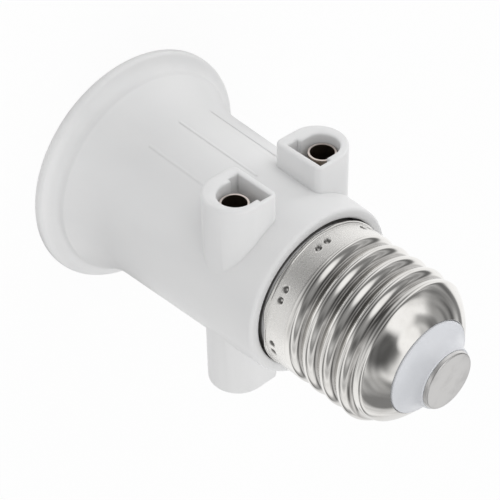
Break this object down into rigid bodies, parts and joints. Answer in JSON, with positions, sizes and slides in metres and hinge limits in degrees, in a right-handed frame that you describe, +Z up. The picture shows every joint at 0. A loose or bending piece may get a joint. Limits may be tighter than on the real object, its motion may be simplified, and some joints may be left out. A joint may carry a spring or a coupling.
{
  "type": "plug-in lamp holder",
  "caption": "Screw-in lamp holder adapter: Edison cap, flared lamp socket below it and two-pin outlets in D-shaped towers on both sides.",
  "frame": {"origin": "centre of the mouth's rim plane, on the common axis of the lamp socket and the screw cap", "axes": "+Z up the axis towards the screw cap's contact; the outlets face -Y (front) and +Y, and the pins of each outlet are spaced along X"},
  "size_m": [0.0442, 0.0442, 0.0752],
  "materials": {
    "white_moulding": "fine moulded, semi-gloss white",
    "white_insulator": "smooth moulded white",
    "nickel_plate": "bright nickel-plated rolled sheet",
    "tinned_contact": "plated, brushed face",
    "spring_brass": "rolled brass strip",
    "sleeve_brass": "tarnished rolled brass tube",
    "zinc_screw": "zinc-plated steel",
    "live_sheath": "brown wire insulation",
    "neutral_sheath": "blue wire insulation",
    "solder": "dull soft solder"
  },
  "bodies": {
    "root": {"housing": "white_moulding", "screw_cap_shell": "nickel_plate", "cap_insulator": "white_insulator", "cap_centre_contact": "tinned_contact", "lamp_socket_shell": "nickel_plate", "socket_base": "white_insulator", "lamp_centre_tongue": "spring_brass", "tongue_rivet": "spring_brass", "socket_screws": "zinc_screw", "live_busbar": "spring_brass", "neutral_busbar": "spring_brass", "live_front_sleeve": "sleeve_brass", "live_rear_sleeve": "sleeve_brass", "neutral_front_sleeve": "sleeve_brass", "neutral_rear_sleeve": "sleeve_brass", "live_lead": "live_sheath", "neutral_lead": "neutral_sheath", "live_tab_solder": "solder", "neutral_tab_solder": "solder", "contact_solder": "solder"}
  },
  "joints": []
}
